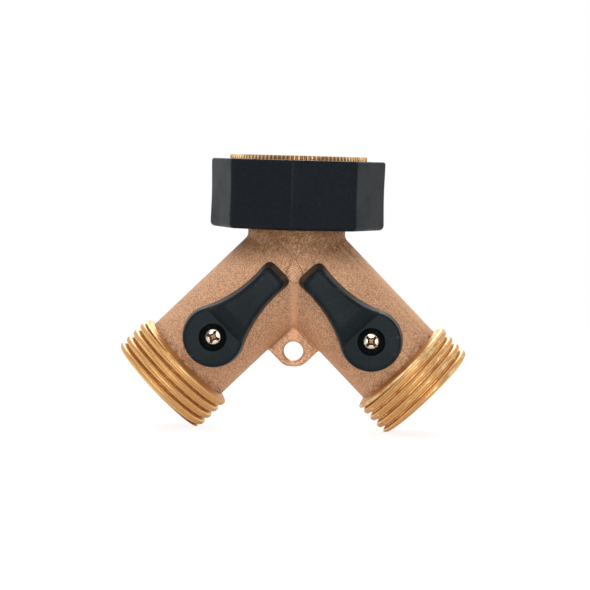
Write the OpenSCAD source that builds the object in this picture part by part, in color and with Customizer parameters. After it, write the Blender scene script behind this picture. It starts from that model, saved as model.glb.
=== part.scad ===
// Two-way hose splitter: a brass Y body with a swivel nut and a lever ball valve in each arm.
// The origin is the centre of the nut's open mouth, +Z points up out of it, and the levers face -Y.

/* [Hose threads] */
// Outer radius of the male hose threads
thread_r = 13.49; // [12.5:0.01:16]
// Pitch of the male and female hose threads
thread_pitch = 2.209; // [1.8:0.001:2.6]
// Depth of the thread grooves
thread_depth = 1.3; // [0.8:0.05:1.5]
// Full crests on each male thread
thread_crests = 4; // [2:1:6]
// Radius of the female thread's crests in the nut
nut_thread_r = 12.35; // [11.8:0.05:12.8]

/* [Body] */
// Outer radius of both arms
arm_r = 11.35; // [9.5:0.05:12]
// How much larger the neck's radius is than the arms'
neck_step = 0.06; // [0.04:0.01:0.3]
// Angle of each arm from straight down
arm_angle = 45; // [40:1:52]
// Length of the neck, from its top face to where the arm axes meet
neck_length = 6.8; // [5:0.1:12]
// Distance along an arm to the foot of its thread shoulder
arm_length = 35; // [34:0.1:45]
// Radius of the water passage between the neck and each valve
passage_r = 7; // [5:0.1:7.2]
// Height of the boss round each stem above the arm's surface
boss_height = 2.2; // [1.6:0.1:3]
// Radius of the boss round each stem
boss_r = 6; // [5.6:0.1:6.6]

/* [Hanging lug] */
// Thickness of the lug plate
lug_thickness = 3.4; // [2:0.1:6]
// Drop from the crotch of the arms to the lug's hole
lug_hole_drop = 6.2; // [5:0.1:8]
// Radius of the lug's hole
lug_hole_r = 2.3; // [1.5:0.1:2.8]
// Drop from the crotch of the arms to the lug's flat bottom edge
lug_drop = 9.8; // [8.5:0.1:12]
// Width of the lug's flat bottom edge
lug_flat = 4; // [2:0.1:6]

/* [Swivel nut] */
// Outer radius over the nut's fine teeth
nut_r = 16.05; // [15.3:0.05:17]
// Number of fine teeth round the nut
nut_teeth = 100; // [60:1:120]
// Depth of the fine teeth
nut_tooth_depth = 0.45; // [0.2:0.05:0.6]
// Height of the nut
nut_height = 16.6; // [14:0.1:22]
// Height of the toothed rim that stands above the grip
nut_rim = 1; // [0.5:0.1:2]
// Thickness of the lip that the retaining ring catches
nut_lip = 2.4; // [1.6:0.1:3]
// Radius of the spigot that the nut turns on
spigot_r = 9.5; // [9:0.05:9.9]
// Wall between the spigot's surface and the water passage in the neck
spigot_wall = 2; // [1.8:0.1:2.4]
// Distance across the grip's corners
grip_across = 40.8; // [38.5:0.1:52]
// How far the nut and grip are turned at rest
nut_turn = -2.5; // [-22.5:0.5:22.5]
// Thickness of the inlet washer
washer_thickness = 2.8; // [2:0.1:3.5]
// Width of the washer's edge that rests on the spigot
washer_seat = 1.5; // [1:0.1:1.9]
// Thickness of the nut's retaining ring
ring_thickness = 1; // [0.8:0.1:1.4]

/* [Ball valves] */
// Distance along the arm from the meeting point to the ball's centre
valve_distance = 25.5; // [25:0.1:30]
// Radius of the ball
ball_r = 7.5; // [6.2:0.05:9]
// Radius of the port through the ball and its seats
port_r = 4.7; // [3:0.05:5]
// Radius of the stem
stem_r = 3.5; // [3.1:0.05:3.8]
// Radius of the stem's inner shoulder
shoulder_r = 4.5; // [4.2:0.05:4.6]
// Thickness of the washer under the stem's shoulder
stem_washer_thickness = 0.6; // [0.4:0.05:0.9]
// Section diameter of the stem's O-rings
o_ring_section = 0.9; // [0.7:0.05:1]
// Length of the seat retainer
retainer_length = 3.6; // [2.5:0.1:4.5]

/* [Levers] */
// Radius of the lever's round hub
hub_r = 7.3; // [6.6:0.1:8.4]
// Distance from the stem's axis to the lever's tip
lever_reach = 22; // [18:0.1:23]
// Half width of the lever's waist
waist_half = 3.5; // [2.6:0.1:3.8]
// Half width of the lever near its tip
tip_half = 3.9; // [3.2:0.1:4.2]
// How far the lever leans past the arm's own line
lever_lean = 1; // [0:0.5:6]
// Height of the lever's top above the hub's face
lever_rise = 2.2; // [1:0.1:3]
// Radius of the sunk hole over the screw
recess_r = 3.05; // [2.5:0.05:3.4]
// Depth of the sunk hole over the screw
recess_depth = 2.3; // [1.6:0.1:3]
// Radius of the handle screw's thread
screw_r = 1.2; // [1:0.05:1.5]
// Radius of the handle screw's head
screw_head_r = 1.95; // [1.8:0.05:2.3]
// Length of the handle screw under its head
screw_length = 5.2; // [3:0.1:6]
// Angle that each valve turns from open to shut
valve_travel = 90; // [60:5:100]

/* [Hidden] */
$fn = 96;
brass = [0.72, 0.52, 0.34];
bright_brass = [0.83, 0.64, 0.36];
steel = [0.78, 0.76, 0.70];
black_plastic = [0.13, 0.15, 0.17];
black_rubber = [0.08, 0.08, 0.08];
white_plastic = [0.90, 0.89, 0.85];
reach = 100;
eps = 0.01;

// Named clearances
turning_gap = 0.08; // between a turning piece and what it turns in or on
push_gap = 0.05; // round a piece that is pushed or screwed in
screw_gap = 0.03; // round a screw's thread
face_gap = 0.3; // between faces that must not rub
lip_gap = 0.1; // between the nut's lip and the retaining ring
washer_gap = 0.5; // round the inlet washer
socket_gap = 0.2; // over the stem's square end
hub_gap = 0.4; // between a boss and the hub over it
groove_gap = 0.25; // round the stop post

// Thread form: 60 degree flanks with flat crests
flank = thread_depth * tan(30);
crest = thread_pitch / 8;
outlet_chamfer = 0.5;

// Heights in the nut, from its lip upwards
spigot_end = 0.7;
chamber_step = 1.05;
ring_groove_depth = 0.9;
ring_stand = 1.5;
grip_overhang = 0.4;
nut_bottom = -nut_height;
lip_top = nut_bottom + nut_lip;
ring_bottom = lip_top + lip_gap;
ring_top = ring_bottom + ring_thickness;
spigot_top = ring_top + spigot_end;
washer_top = spigot_top + washer_thickness;
nut_thread_bottom = washer_top + face_gap;
chamber_r = nut_thread_r + chamber_step;
washer_r = chamber_r - washer_gap;
washer_hole_r = spigot_r - washer_seat;
ring_groove_r = spigot_r - ring_groove_depth;
ring_r = spigot_r + ring_stand;
grip_top = -nut_rim;
grip_bottom = nut_bottom - grip_overhang;
grip_edge = 0.45;
ring_split = 3;

// Where the neck and the arms meet
neck_r = arm_r + neck_step;
neck_bore_r = spigot_r - spigot_wall;
neck_top = nut_bottom - face_gap;
joint_z = neck_top - neck_length;
crotch_z = joint_z - arm_r / sin(arm_angle);

// The male thread, measured along the arm
shoulder_end = arm_length + thread_r - arm_r;
thread_end = shoulder_end + crest + (thread_crests - 1) * thread_pitch;
outlet_end = thread_end + outlet_chamfer;

// The valve chamber, measured along the arm from the ball's centre
cavity_r = ball_r + 1;
seat_near = shoulder_r + face_gap;
seat_far = ball_r + 0.5;
retainer_far = seat_far + retainer_length;
retainer_step = 0.5;
retainer_slot = 1.6;
retainer_slot_depth = 1.2;

// The stem, measured from the arm's axis towards the lever
slot_width = 3;
slot_floor = ball_r - 2.1;
tang_bottom = slot_floor + 0.1;
shoulder_bottom = ball_r + face_gap;
shoulder_top = shoulder_bottom + 1;
pocket_top = shoulder_top + stem_washer_thickness;
boss_top = arm_r + boss_height;
stem_bore_r = stem_r + push_gap;
o_ring_groove_r = stem_r - o_ring_section;
o_ring_r = o_ring_groove_r + 0.02 + o_ring_section / 2;
o_ring_half = o_ring_section / 2 + push_gap;
o_ring_places = [for (share = [0.28, 0.72]) pocket_top + share * (boss_top - pocket_top)];
stem_square = 1.4 * stem_r;
stem_top = boss_top + 2;

// The lever, measured from the arm's axis
handle_bottom = boss_top + hub_gap;
socket_top = stem_top + socket_gap;
recess_floor = socket_top + 0.8;
hub_top = recess_floor + recess_depth;
lever_top = hub_top + lever_rise;
head_thickness = 1.2;
cross_width = 0.6;
cross_depth = 0.7;

// The stop post on the boss and the groove that runs round it in the hub
stop_inner_r = stem_r + 0.9;
stop_outer_r = boss_r - 0.2;
stop_top = boss_top + 1;
stop_half_angle = 12;
stop_play = 2;

// Concave sides of the lever: an arc that meets the hub's rim and passes the waist
waist_at = 0.75 * lever_reach;
side_arc_r = (waist_at * waist_at + waist_half * waist_half - hub_r * hub_r) / (2 * (hub_r - waist_half));
side_from = waist_at * hub_r / (hub_r + side_arc_r);
flare_at = lever_reach - 2.2;
tip_corner_r = 2;

// Ramp, tip and underside of the lever, seen from the side
ramp_start = 3.5;
ramp_end = 7.2;
tip_edge_r = 1.6;

// Points of an arc round (cx, cy), from angle a0 to a1
function arc(cx, cy, r, a0, a1, steps) =
    [for (i = [0 : steps]) let (a = a0 + (a1 - a0) * i / steps) [cx + r * cos(a), cy + r * sin(a)]];

// Half width of the lever at a distance from the stem's axis, up to the flare
function lever_half(d) =
    waist_half + side_arc_r - sqrt(side_arc_r * side_arc_r - (d - waist_at) * (d - waist_at));

// ---- Frames ----

// Mirrors the right-hand parts for the left arm
module on_side(side) {
    mirror([side < 0 ? 1 : 0, 0, 0]) children();
}

// +Z runs out along the right arm from where the axes meet
module along_arm() {
    translate([0, 0, joint_z]) rotate([0, 180 - arm_angle, 0]) children();
}

// Origin at the right ball's centre, +Z towards the lever, +X to the right and +Y up
module at_valve() {
    along_arm() translate([0, 0, valve_distance])
        rotate([0, arm_angle - 180, 0]) rotate([90, 0, 0]) children();
}

// The valve frame turned so that +X runs along the lever
module along_lever() {
    at_valve() rotate([0, 0, 180 - (90 - arm_angle) - lever_lean]) children();
}

// An outline in X and Z, extruded both ways from the middle plane
module plate(thickness) {
    rotate([90, 0, 0]) linear_extrude(thickness, center = true) children();
}

// ---- Shared shapes ----

// Everything below the neck's top on the right of the middle plane
module right_half() {
    translate([0, -reach, joint_z - reach]) cube([reach, 2 * reach, reach + neck_length]);
}

// A solid of revolution whose grooves are the male thread, from the shoulder to the outlet
module male_thread() {
    root = thread_r - thread_depth;
    crests = [for (i = [0 : thread_crests - 1]) shoulder_end + crest / 2 + i * thread_pitch];
    rotate_extrude() polygon(concat(
        [[0, arm_length - 1], [arm_r, arm_length - 1], [arm_r, arm_length]],
        [for (i = [0 : thread_crests - 1]) each concat(
            i == 0 ? [] : [[root, crests[i] - crest / 2 - flank]],
            [[thread_r, crests[i] - crest / 2], [thread_r, crests[i] + crest / 2]],
            i == thread_crests - 1 ? [] : [[root, crests[i] + crest / 2 + flank]]
        )],
        [[thread_r - outlet_chamfer, outlet_end], [0, outlet_end]]
    ));
}

// The grooves of the female thread, cut downwards from the nut's mouth
module female_grooves() {
    turns = floor((-nut_thread_bottom - crest) / thread_pitch);
    root = nut_thread_r + thread_depth;
    for (i = [0 : turns - 1]) {
        top = -crest - i * thread_pitch;
        low = top - thread_pitch + crest;
        rotate_extrude() polygon([
            [nut_thread_r - eps, top], [root, top - flank], [root, low + flank], [nut_thread_r - eps, low]
        ]);
    }
}

// A ring of outer radius r_out and inner radius r_in between two heights
module ring(r_out, r_in, low, high) {
    translate([0, 0, low]) difference() {
        cylinder(r = r_out, h = high - low);
        translate([0, 0, -1]) cylinder(r = r_in, h = high - low + 2);
    }
}

// A sector of a ring, symmetric about +X
module ring_sector(r_out, r_in, low, high, half_angle) {
    intersection() {
        ring(r_out, r_in, low, high);
        translate([0, 0, low - 1]) linear_extrude(high - low + 2)
            polygon(concat([[0, 0]], arc(0, 0, 2 * r_out, -half_angle, half_angle, 6)));
    }
}

// ---- Body ----

// Raised water drop between the levers
module drop_mark() {
    drop_r = 1.9;
    drop_tip = 4;
    relief = 0.45;
    translate([0, -arm_r, joint_z - 3.6]) plate(2 * relief)
        polygon(concat(arc(0, 0, drop_r, 150, 390, 30), [[0, drop_tip]]));
}

// Plate in the crotch: its corners lie on the arms' lower sides and its bottom edge is flat
module lug() {
    drop = (lug_drop + lug_flat / 2) / 2;
    corner_x = drop * tan(arm_angle);
    plate(lug_thickness) polygon([
        [-lug_flat / 2, crotch_z - lug_drop], [lug_flat / 2, crotch_z - lug_drop],
        [corner_x, crotch_z - drop], [0, crotch_z + drop / 2], [-corner_x, crotch_z - drop]
    ]);
}

module arm_solid() {
    intersection() {
        along_arm() cylinder(r = arm_r, h = arm_length - 0.5);
        right_half();
    }
    along_arm() male_thread();
    at_valve() cylinder(r = boss_r, h = boss_top);
}

module stop_post() {
    along_lever() rotate([0, 0, 180 - valve_travel / 2])
        ring_sector(stop_outer_r, stop_inner_r, boss_top - 1, stop_top, stop_half_angle);
}

module arm_bores() {
    intersection() {
        along_arm() cylinder(r = passage_r, h = valve_distance);
        right_half();
    }
    along_arm() translate([0, 0, valve_distance - seat_far]) cylinder(r = cavity_r, h = reach);
    at_valve() cylinder(r = shoulder_r + turning_gap, h = pocket_top);
    at_valve() cylinder(r = stem_bore_r, h = reach);
}

module body() {
    color(brass) difference() {
        union() {
            translate([0, 0, joint_z]) cylinder(r = neck_r, h = neck_top - joint_z);
            translate([0, 0, neck_top - 1]) cylinder(r = spigot_r, h = spigot_top - neck_top + 1);
            for (side = [-1, 1]) on_side(side) {
                arm_solid();
                stop_post();
            }
            lug();
            drop_mark();
        }
        translate([0, 0, joint_z]) cylinder(r = neck_bore_r, h = reach);
        ring(spigot_r + 1, ring_groove_r, ring_bottom - screw_gap, ring_top + screw_gap);
        for (side = [-1, 1]) on_side(side) arm_bores();
        translate([0, 0, crotch_z - lug_hole_drop]) rotate([90, 0, 0])
            cylinder(r = lug_hole_r, h = 2 * lug_thickness, center = true);
    }
}

// ---- Swivel nut ----

module swivel_nut() {
    tooth = 360 / nut_teeth;
    color(bright_brass) rotate([0, 0, nut_turn]) difference() {
        translate([0, 0, nut_bottom]) linear_extrude(nut_height) polygon([
            for (i = [0 : nut_teeth - 1], edge = [0, 0.5])
                let (a = (i + edge) * tooth, r = edge == 0 ? nut_r : nut_r - nut_tooth_depth)
                [r * cos(a), r * sin(a)]
        ]);
        translate([0, 0, nut_thread_bottom]) cylinder(r = nut_thread_r, h = reach);
        translate([0, 0, lip_top]) cylinder(r = chamber_r, h = nut_thread_bottom - lip_top);
        translate([0, 0, nut_bottom - 1]) cylinder(r = spigot_r + turning_gap, h = nut_height);
        female_grooves();
    }
}

module nut_grip() {
    corner_r = grip_across / 2;
    color(black_plastic) rotate([0, 0, nut_turn]) difference() {
        translate([0, 0, grip_bottom]) intersection() {
            cylinder(r = corner_r + grip_edge, h = grip_top - grip_bottom, $fn = 8);
            cylinder(r = corner_r, h = grip_top - grip_bottom);
        }
        translate([0, 0, grip_bottom - 1]) cylinder(r = nut_r + push_gap, h = nut_height + 2);
    }
}

module inlet_washer() {
    color(black_rubber) ring(washer_r, washer_hole_r, spigot_top, washer_top);
}

module nut_retaining_ring() {
    color(steel) difference() {
        ring(ring_r, ring_groove_r + push_gap, ring_bottom, ring_top);
        translate([0, -ring_split / 2, ring_bottom - 1]) cube([2 * ring_r, ring_split, ring_thickness + 2]);
    }
}

// ---- Ball valves ----

module ball(side) {
    color(bright_brass) on_side(side) at_valve() rotate([0, 0, arm_angle - 90]) difference() {
        sphere(r = ball_r);
        rotate([0, 90, 0]) cylinder(r = port_r, h = 4 * ball_r, center = true);
        translate([-slot_width / 2, -2 * ball_r, slot_floor]) cube([slot_width, 4 * ball_r, ball_r]);
    }
}

// One plastic seat, on the outlet side of the ball when direction is 1
module seat(side, direction) {
    color(white_plastic) on_side(side) along_arm() translate([0, 0, valve_distance])
        mirror([0, 0, direction < 0 ? 1 : 0]) difference() {
            ring(cavity_r - push_gap, port_r, seat_near, seat_far);
            sphere(r = ball_r + turning_gap);
        }
}

module seat_retainer(side) {
    color(brass) on_side(side) along_arm() translate([0, 0, valve_distance]) difference() {
        ring(cavity_r - push_gap, port_r + retainer_step, seat_far, retainer_far);
        translate([-retainer_slot / 2, -reach, retainer_far - retainer_slot_depth])
            cube([retainer_slot, 2 * reach, 2 * retainer_slot_depth]);
    }
}

module stem(side) {
    color(brass) on_side(side) at_valve() rotate([0, 0, arm_angle - 90]) difference() {
        union() {
            intersection() {
                translate([-slot_width / 2 + push_gap, -reach, tang_bottom])
                    cube([slot_width - 2 * push_gap, 2 * reach, shoulder_bottom - slot_floor]);
                cylinder(r = stem_r - 0.1, h = reach);
            }
            translate([0, 0, shoulder_bottom]) cylinder(r = shoulder_r, h = shoulder_top - shoulder_bottom);
            translate([0, 0, shoulder_bottom]) cylinder(r = stem_r, h = boss_top + 0.2 - shoulder_bottom);
            translate([-stem_square / 2, -stem_square / 2, boss_top])
                cube([stem_square, stem_square, stem_top - boss_top]);
        }
        for (place = o_ring_places)
            ring(stem_r + 1, o_ring_groove_r, place - o_ring_half, place + o_ring_half);
        translate([0, 0, recess_floor - screw_length - 0.5]) cylinder(r = screw_r + screw_gap, h = reach);
    }
}

module stem_o_rings(side) {
    color(black_rubber) on_side(side) at_valve()
        for (place = o_ring_places)
            translate([0, 0, place]) rotate_extrude()
                translate([o_ring_r, 0]) circle(d = o_ring_section, $fn = 32);
}

module stem_washer(side) {
    color(white_plastic) on_side(side) at_valve()
        ring(shoulder_r, stem_r + push_gap, shoulder_top, pocket_top);
}

// ---- Levers ----

// The lever seen from the front: its concave sides, its flare and its rounded tip
module lever_outline() {
    steps = 14;
    side = [for (i = [0 : steps]) let (d = side_from + (flare_at - side_from) * i / steps)
        [d, d < waist_at ? lever_half(d) : min(lever_half(d), tip_half)]];
    tip = arc(lever_reach - tip_corner_r, tip_half - tip_corner_r - 0.2, tip_corner_r, 80, 10, 5);
    half = concat(side, tip);
    polygon(concat([for (p = half) p], [for (i = [len(half) - 1 : -1 : 0]) [half[i][0], -half[i][1]]]));
}

// The lever seen from the side: a ramp up from the hub's face, the top, the tip and the underside
module lever_side() {
    steps = 5;
    polygon(concat(
        [[0, handle_bottom], [0, hub_top], [ramp_start, hub_top]],
        [for (i = [1 : steps]) let (share = i / steps, left = 1 - share)
            [ramp_end - (ramp_end - ramp_start) * left, hub_top + lever_rise * (1 - left * left)]],
        arc(lever_reach - tip_edge_r, lever_top - tip_edge_r, tip_edge_r, 90, 15, 5),
        [[lever_reach - 0.3, handle_bottom + 1.2], [lever_reach - 1.5, handle_bottom + 0.3],
            [hub_r + 1.5, handle_bottom + 0.3], [hub_r + 1, handle_bottom]]
    ));
}

module handle(side) {
    color(black_plastic) on_side(side) along_lever() difference() {
        union() {
            translate([0, 0, handle_bottom]) cylinder(r = hub_r, h = hub_top - handle_bottom);
            intersection() {
                linear_extrude(reach) lever_outline();
                rotate([90, 0, 0]) linear_extrude(4 * hub_r, center = true) lever_side();
            }
        }
        rotate([0, 0, lever_lean]) translate([0, 0, socket_top - reach]) linear_extrude(reach)
            square(stem_square + 2 * push_gap, center = true);
        translate([0, 0, recess_floor]) cylinder(r = recess_r, h = reach);
        cylinder(r = screw_r + 0.15, h = reach);
        rotate([0, 0, 180]) ring_sector(stop_outer_r + groove_gap, stop_inner_r - groove_gap,
            handle_bottom - 1, stop_top + hub_gap,
            valve_travel / 2 + stop_half_angle + stop_play);
    }
}

module handle_screw(side) {
    cross_turn = side < 0 ? 20 : 45;
    head_top = recess_floor + head_thickness;
    color(steel) on_side(side) at_valve() rotate([0, 0, cross_turn]) difference() {
        union() {
            translate([0, 0, recess_floor]) cylinder(r = screw_head_r, h = head_thickness);
            translate([0, 0, recess_floor - screw_length]) cylinder(r = screw_r, h = screw_length + eps);
        }
        for (turn = [0, 90])
            rotate([0, 0, turn]) translate([-0.7 * screw_head_r, -cross_width / 2, head_top - cross_depth])
                cube([1.4 * screw_head_r, cross_width, 2 * cross_depth]);
    }
}

body();
swivel_nut();
nut_grip();
inlet_washer();
nut_retaining_ring();
ball(-1);  // left_ball
seat(-1, -1);  // left_inner_seat
seat(-1, 1);  // left_outer_seat
seat_retainer(-1);  // left_seat_retainer
stem(-1);  // left_stem
stem_o_rings(-1);  // left_stem_o_rings
stem_washer(-1);  // left_stem_washer
handle(-1);  // left_handle
handle_screw(-1);  // left_handle_screw
ball(1);  // right_ball
seat(1, -1);  // right_inner_seat
seat(1, 1);  // right_outer_seat
seat_retainer(1);  // right_seat_retainer
stem(1);  // right_stem
stem_o_rings(1);  // right_stem_o_rings
stem_washer(1);  // right_stem_washer
handle(1);  // right_handle
handle_screw(1);  // right_handle_screw
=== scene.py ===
"""How the two-way hose splitter looks: its cast body, hose threads, grip, levers and screws.

The shapes are worked out in millimetres and set down in metres. Each valve has its own frame, with
its origin on the arm's axis, u along the lever, v across it and w towards the lever's face.
"""

import itertools
import math

import bpy
import numpy as np
from mathutils import Matrix, Vector


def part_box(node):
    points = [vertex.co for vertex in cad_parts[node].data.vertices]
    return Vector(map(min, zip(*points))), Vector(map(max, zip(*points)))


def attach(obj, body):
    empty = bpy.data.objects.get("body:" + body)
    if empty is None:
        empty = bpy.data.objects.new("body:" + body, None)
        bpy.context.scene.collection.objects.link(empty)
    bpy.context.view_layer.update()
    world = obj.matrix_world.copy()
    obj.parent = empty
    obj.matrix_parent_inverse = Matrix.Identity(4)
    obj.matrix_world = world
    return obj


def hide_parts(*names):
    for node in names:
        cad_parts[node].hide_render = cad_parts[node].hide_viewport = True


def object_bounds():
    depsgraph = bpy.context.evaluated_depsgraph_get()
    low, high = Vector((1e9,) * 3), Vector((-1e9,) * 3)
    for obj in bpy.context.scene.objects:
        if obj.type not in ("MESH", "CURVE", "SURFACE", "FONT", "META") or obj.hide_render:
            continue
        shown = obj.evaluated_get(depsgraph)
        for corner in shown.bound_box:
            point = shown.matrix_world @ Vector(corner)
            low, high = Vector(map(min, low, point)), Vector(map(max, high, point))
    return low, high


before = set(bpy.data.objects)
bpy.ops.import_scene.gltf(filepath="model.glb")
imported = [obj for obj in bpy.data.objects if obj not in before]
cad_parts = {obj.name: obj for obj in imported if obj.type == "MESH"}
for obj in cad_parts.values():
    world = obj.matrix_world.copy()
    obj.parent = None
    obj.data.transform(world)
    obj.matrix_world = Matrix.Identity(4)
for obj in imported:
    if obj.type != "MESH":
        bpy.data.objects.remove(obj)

CAD_BOX = [list(corner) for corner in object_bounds()]
MM = 0.001


def box_mm(node):
    """Lowest and highest corner of a CAD node in millimetres."""
    return [np.array(corner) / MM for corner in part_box(node)]


# ---- Places, from the frame ----

VALVE = sum(box_mm("right_ball")) / 2
JOINT = np.array([0, 0, VALVE[2] + VALVE[0]])
VALVE_DISTANCE = VALVE[0] * math.sqrt(2)
NUT_BOTTOM = box_mm("swivel_nut")[0][2]
GRIP_BOTTOM, GRIP_TOP = (corner[2] for corner in box_mm("nut_grip"))
GRIP_CORNER = box_mm("nut_grip")[1][1]
SPIGOT_TOP = box_mm("inlet_washer")[0][2]
RING_BOTTOM, RING_TOP = (corner[2] for corner in box_mm("nut_retaining_ring"))
STEM_TOP = -box_mm("right_stem")[0][1]
SCREW_TOP = -box_mm("right_handle_screw")[0][1]
LEVER_TOP, LEVER_BOTTOM = (-corner[1] for corner in box_mm("right_handle"))

# ---- Sizes that the boxes don't show ----

NUT_TURN = math.radians(-2.5)
NUT_R, NUT_TEETH, TOOTH_DEPTH = 16.05, 100, 0.45
NUT_THREAD_R, NUT_THREAD_BOTTOM = 12.35, -9.3
CHAMBER_R, LIP_TOP = 13.4, NUT_BOTTOM + 2.4
GRIP_CORNER_R, GRIP_WAIST = 1.0, 0.14
SPIGOT_R, RING_GROOVE_R = 9.5, 8.6
SPIGOT_GAP, GROOVE_GAP = 0.08, 0.03
PITCH, THREAD_DEPTH, THREAD_R = 2.209, 1.3, 13.49
# A crest's half width and its flank's width are shares of half a pitch; its dome is a share of the depth.
CREST_EDGE, FLANK, DOME = 0.56, 0.36, 0.2
ARM_R, NECK_R = 11.35, 11.41
NECK_TOP = NUT_BOTTOM - 0.3
NECK_LENGTH = NECK_TOP - JOINT[2]
NECK_BORE_R, PASSAGE_R = 7.5, 7.0
CROTCH_Z = JOINT[2] - ARM_R * math.sqrt(2)
ARM_LENGTH, OUTLET_END = 35.0, 44.543
CAVITY_R, CAVITY_START = 8.5, VALVE_DISTANCE - 8.0
BOSS_R, BOSS_TOP = 6.0, 13.55
LUG_THICKNESS, LUG_DROP, LUG_FLAT = 3.4, 9.8, 4.0
LUG_HOLE_R, LUG_HOLE_DROP = 2.3, 6.2
SHOULDER_POCKET_R, POCKET_TOP, STEM_BORE_R = 4.58, 9.4, 3.55
DROP_Z, DROP_TIP, DROP_R, DROP_RELIEF = JOINT[2] - 3.6, 4.0, 1.9, 0.5
HUB_R, HUB_TOP = 7.3, LEVER_TOP - 2.2
LEVER_REACH, WAIST_HALF, TIP_HALF, LEVER_LEAN = 21.7, 3.5, 3.9, math.radians(1)
WAIST_AT = 0.75 * LEVER_REACH
SIDE_ARC_R = (WAIST_AT**2 + WAIST_HALF**2 - HUB_R**2) / (2 * (HUB_R - WAIST_HALF))
SIDE_FROM = WAIST_AT * HUB_R / (HUB_R + SIDE_ARC_R)
RAMP_START, RAMP_END, DRAFT = 3.6, 7.6, 0.1
STEM_SQUARE = 4.9 / 2
RECESS_R, RECESS_FLOOR = 3.05, HUB_TOP - 2.3
SCREW_HEAD_R, SCREW_R, SCREW_LENGTH = 1.95, 1.2, 5.2
STOP_INNER_R, STOP_OUTER_R, STOP_TOP = 4.4, 5.8, BOSS_TOP + 1
STOP_HALF_ANGLE, VALVE_TRAVEL = 12.0, 90.0

UP = np.array([0.0, 0.0, 1.0])
FRONT = np.array([0.0, -1.0, 0.0])
SIDES = ((-1, "left"), (1, "right"))
# Finish numbers on the casting; 0 is as cast
LEFT_CUT, RIGHT_CUT, SPIGOT_CUT = 1, 2, 3


def arm_direction(side):
    """Direction out along the left (-1) or right (1) arm."""
    return np.array([side, 0, -1]) / math.sqrt(2)


def crest_start(side):
    """How far along an arm its thread's first crest stands at the arm's outer side."""
    return ARM_LENGTH + (2.45 if side < 0 else 2.85)


def valve_centre(side):
    """Centre of the left (-1) or right (1) valve."""
    return VALVE * [side, 1, 1]


def lever_axes(side):
    """Directions of u, v and w for one lever."""
    turn = math.radians(135) - LEVER_LEAN
    along = np.array([side * math.cos(turn), 0, math.sin(turn)])
    across = np.array([-side * math.sin(turn), 0, math.cos(turn)])
    return along, across, FRONT


# ---- Soft shapes as distance fields ----

def soft_min(a, b, k):
    """The lesser of two distances, with a fillet about k wide where they meet."""
    k = np.maximum(k, 1e-6)
    share = np.clip(0.5 + 0.5 * (b - a) / k, 0, 1)
    return b + (a - b) * share - k * share * (1 - share)


def soft_max(a, b, k):
    """The greater of two distances, with the edge between them rounded over about k."""
    return -soft_min(-a, -b, k)


def round_bar(p, start, direction, radius):
    """Distance to a bar's round surface, the direction out of it, and the distance along it."""
    away = p - start
    along = away @ direction
    out = away - along[..., None] * direction
    length = np.maximum(np.linalg.norm(out, axis=-1), 1e-9)
    return length - radius, out / length[..., None], along


def angle_fillet(a, a_out, b, b_out, size):
    """Two round bars joined by a fillet that thins out where their surfaces run into each other."""
    least = 0.15
    return soft_min(a, b, size * (1 - np.sum(a_out * b_out, axis=-1)) + least)


def skin(field, low, high, step):
    """Points and four-sided faces of the closed surface where the field is zero."""
    axes = [np.arange(low[i], high[i] + step, step) for i in range(3)]
    value = np.stack([
        field(np.stack(np.meshgrid([x], axes[1], axes[2], indexing="ij"), -1))[0] for x in axes[0]
    ])
    cells = tuple(n - 1 for n in value.shape)
    total, count = np.zeros(cells + (3,)), np.zeros(cells)
    crossings = []
    for axis in range(3):
        near = [slice(None)] * 3
        far = [slice(None)] * 3
        near[axis], far[axis] = slice(0, -1), slice(1, None)
        a, b = value[tuple(near)], value[tuple(far)]
        cross = (a < 0) != (b < 0)
        at = np.argwhere(cross)
        share = (a[cross] / (a[cross] - b[cross]))[:, None]
        point = at + share * np.eye(3)[axis]
        crossings.append((axis, at, a[cross] < 0))
        others = [k for k in range(3) if k != axis]
        for shift in itertools.product((0, 1), repeat=2):
            cell = at.copy()
            cell[:, others[0]] -= shift[0]
            cell[:, others[1]] -= shift[1]
            keep = np.all((cell >= 0) & (cell < np.array(cells)), axis=1)
            np.add.at(total, tuple(cell[keep].T), point[keep])
            np.add.at(count, tuple(cell[keep].T), 1)
    used = count > 0
    number = np.full(cells, -1)
    number[used] = np.arange(used.sum())
    points = total[used] / count[used][:, None] * step + np.array([a[0] for a in axes])
    faces = []
    for axis, at, inside in crossings:
        one, two = (axis + 1) % 3, (axis + 2) % 3
        corners = []
        for shift in ((1, 1), (0, 1), (0, 0), (1, 0)):
            cell = at.copy()
            cell[:, one] -= shift[0]
            cell[:, two] -= shift[1]
            corners.append(number[tuple(cell.T)])
        quad = np.stack(corners, axis=1)
        quad[~inside] = quad[~inside][:, ::-1]
        faces.append(quad)
    return settle(field, points, step), np.concatenate(faces)


def settle(field, points, step):
    """Moves points onto the field's surface."""
    small = 0.02
    for _ in range(4):
        slope = np.stack([
            field(points + small * e) - field(points - small * e) for e in np.eye(3)
        ], axis=-1) / (2 * small)
        move = field(points)[:, None] * slope / np.maximum(np.sum(slope**2, axis=1), 0.2)[:, None]
        points = points - np.clip(move, -step / 2, step / 2)
    return points


# ---- Making pieces ----

def new_mesh(name, points, faces, finish=0):
    """A mesh from points in millimetres, all of its faces with one finish number."""
    mesh = bpy.data.meshes.new(name)
    faces = faces.tolist() if isinstance(faces, np.ndarray) else faces
    mesh.from_pydata((np.asarray(points) * MM).tolist(), [], faces)
    mesh.polygons.foreach_set("material_index", [finish] * len(mesh.polygons))
    mesh.validate()
    return mesh


def new_object(name, mesh, finishes=()):
    """An object in the scene with its finishes, numbered from 0."""
    for material in finishes:
        mesh.materials.append(material)
    made = bpy.data.objects.new(name, mesh)
    bpy.context.scene.collection.objects.link(made)
    return made


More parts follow.
